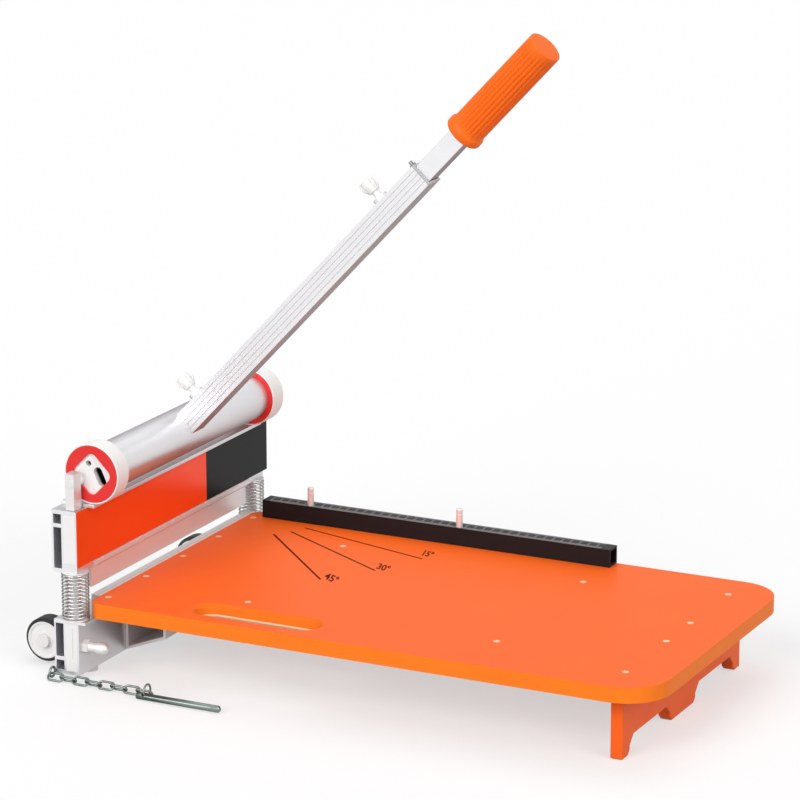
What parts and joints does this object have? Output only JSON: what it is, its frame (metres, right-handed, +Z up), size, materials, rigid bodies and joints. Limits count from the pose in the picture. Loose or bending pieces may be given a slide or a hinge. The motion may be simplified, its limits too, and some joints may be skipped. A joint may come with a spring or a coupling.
{
  "type": "laminate cutter",
  "caption": "Bench cutter for laminate boards: a lever turns an eccentric cross tube that presses a sprung blade carrier down its guide posts, past a slotted table with a swinging fence.",
  "frame": {"origin": "on the floor, on the underside of the middle foot, midway between the guide posts' axes", "axes": "+X from the blade along the table, +Y along the blade to the fence side, +Z up"},
  "size_m": [0.7015, 0.424, 0.6584],
  "materials": {
    "aluminium": "satin extruded",
    "white_paint": "powder coat",
    "bright_steel": "bright zinc",
    "spring_steel": "drawn wire",
    "zinc_wire": "galvanized",
    "pale_screw": "satin",
    "orange_board": "smooth painted board",
    "orange_panel": "gloss",
    "black_panel": "gloss",
    "black_paint": "satin black",
    "white_plastic": "moulded",
    "red_plastic": "moulded",
    "tyre": "matt",
    "grip_rubber": "matt moulded"
  },
  "bodies": {
    "frame": {"base_beam": "aluminium", "base_feet": "white_plastic", "base_end_blocks": "white_paint", "guide_posts": "bright_steel", "anvil_bar": "bright_steel", "anvil_screws": "bright_steel", "table_bracket": "aluminium", "post_clamp_bolts": "bright_steel", "table": "orange_board", "table_screws": "pale_screw", "end_leg": "orange_board", "table_rails": "aluminium", "wheel_brackets": "white_paint", "wheel_axles": "bright_steel", "pivot_bolts": "bright_steel", "pivot_spacers": "white_plastic", "spring_seats_lower": "bright_steel", "near_spring": "spring_steel", "far_spring": "spring_steel", "chain_eye": "zinc_wire", "chain": "zinc_wire", "lock_pin": "zinc_wire"},
    "near_wheel": {"near_wheel_tyre": "tyre", "near_wheel_hub": "white_plastic"},
    "far_wheel": {"far_wheel_tyre": "tyre", "far_wheel_hub": "white_plastic"},
    "fence": {"fence": "black_paint", "fence_pins": "bright_steel"},
    "carrier": {"carrier_beam": "aluminium", "carrier_end_blocks": "white_paint", "spring_seats_upper": "bright_steel", "cam_rail": "aluminium", "front_panel": "orange_panel", "front_panel_end": "black_panel", "blade": "bright_steel", "blade_clamp": "bright_steel", "blade_screws": "bright_steel"},
    "lever": {"cross_tube": "aluminium", "cam_collars": "white_plastic", "cam_hubs": "red_plastic", "pivot_plates": "white_plastic", "lever_stub": "aluminium", "lever_tube": "aluminium", "lever_end_cap": "white_plastic", "lever_end_screw": "bright_steel"},
    "extension": {"extension_tube": "aluminium", "grip": "grip_rubber"},
    "lower_knob": {"lower_knob": "white_plastic"},
    "upper_knob": {"upper_knob": "white_plastic"}
  },
  "joints": [
    {"name": "lever_swing", "type": "hinge", "parent": "frame", "child": "lever", "pos_m": [0, 0, 0.2043], "axis": [0, 1, 0], "range_deg": [0, 54]},
    {"name": "carrier_slide", "type": "slide", "parent": "frame", "child": "carrier", "axis": [0, 0, -1], "range_m": [0, 0.01545], "stiffness_N_per_m": 8000, "springref_m": -0.03, "deforming": ["near_spring", "far_spring"]},
    {"name": "extension_slide", "type": "slide", "parent": "lever", "child": "extension", "axis": [0.6858, 0, 0.7278], "range_m": [-0.05, 0.1]},
    {"name": "lower_knob_turn", "type": "hinge", "parent": "lever", "child": "lower_knob", "pos_m": [0.04944, 0, 0.24561], "axis": [-0.7278, 0, 0.6858], "range_deg": [-180, 180]},
    {"name": "upper_knob_turn", "type": "hinge", "parent": "lever", "child": "upper_knob", "pos_m": [0.26204, 0, 0.47122], "axis": [-0.7278, 0, 0.6858], "range_deg": [-180, 180]},
    {"name": "fence_swing", "type": "hinge", "parent": "frame", "child": "fence", "pos_m": [0.09, 0.153, 0.082], "axis": [0, 0, -1], "range_deg": [0, 45]},
    {"name": "near_wheel_spin", "type": "hinge", "parent": "frame", "child": "near_wheel", "pos_m": [-0.0505, -0.155, 0.025], "axis": [0, 1, 0], "continuous": true},
    {"name": "far_wheel_spin", "type": "hinge", "parent": "frame", "child": "far_wheel", "pos_m": [-0.0505, 0.155, 0.025], "axis": [0, 1, 0], "continuous": true}
  ],
  "couplings": [
    {"joint": "carrier_slide", "follows": "lever_swing", "m_per_rad": 0.016378}
  ]
}
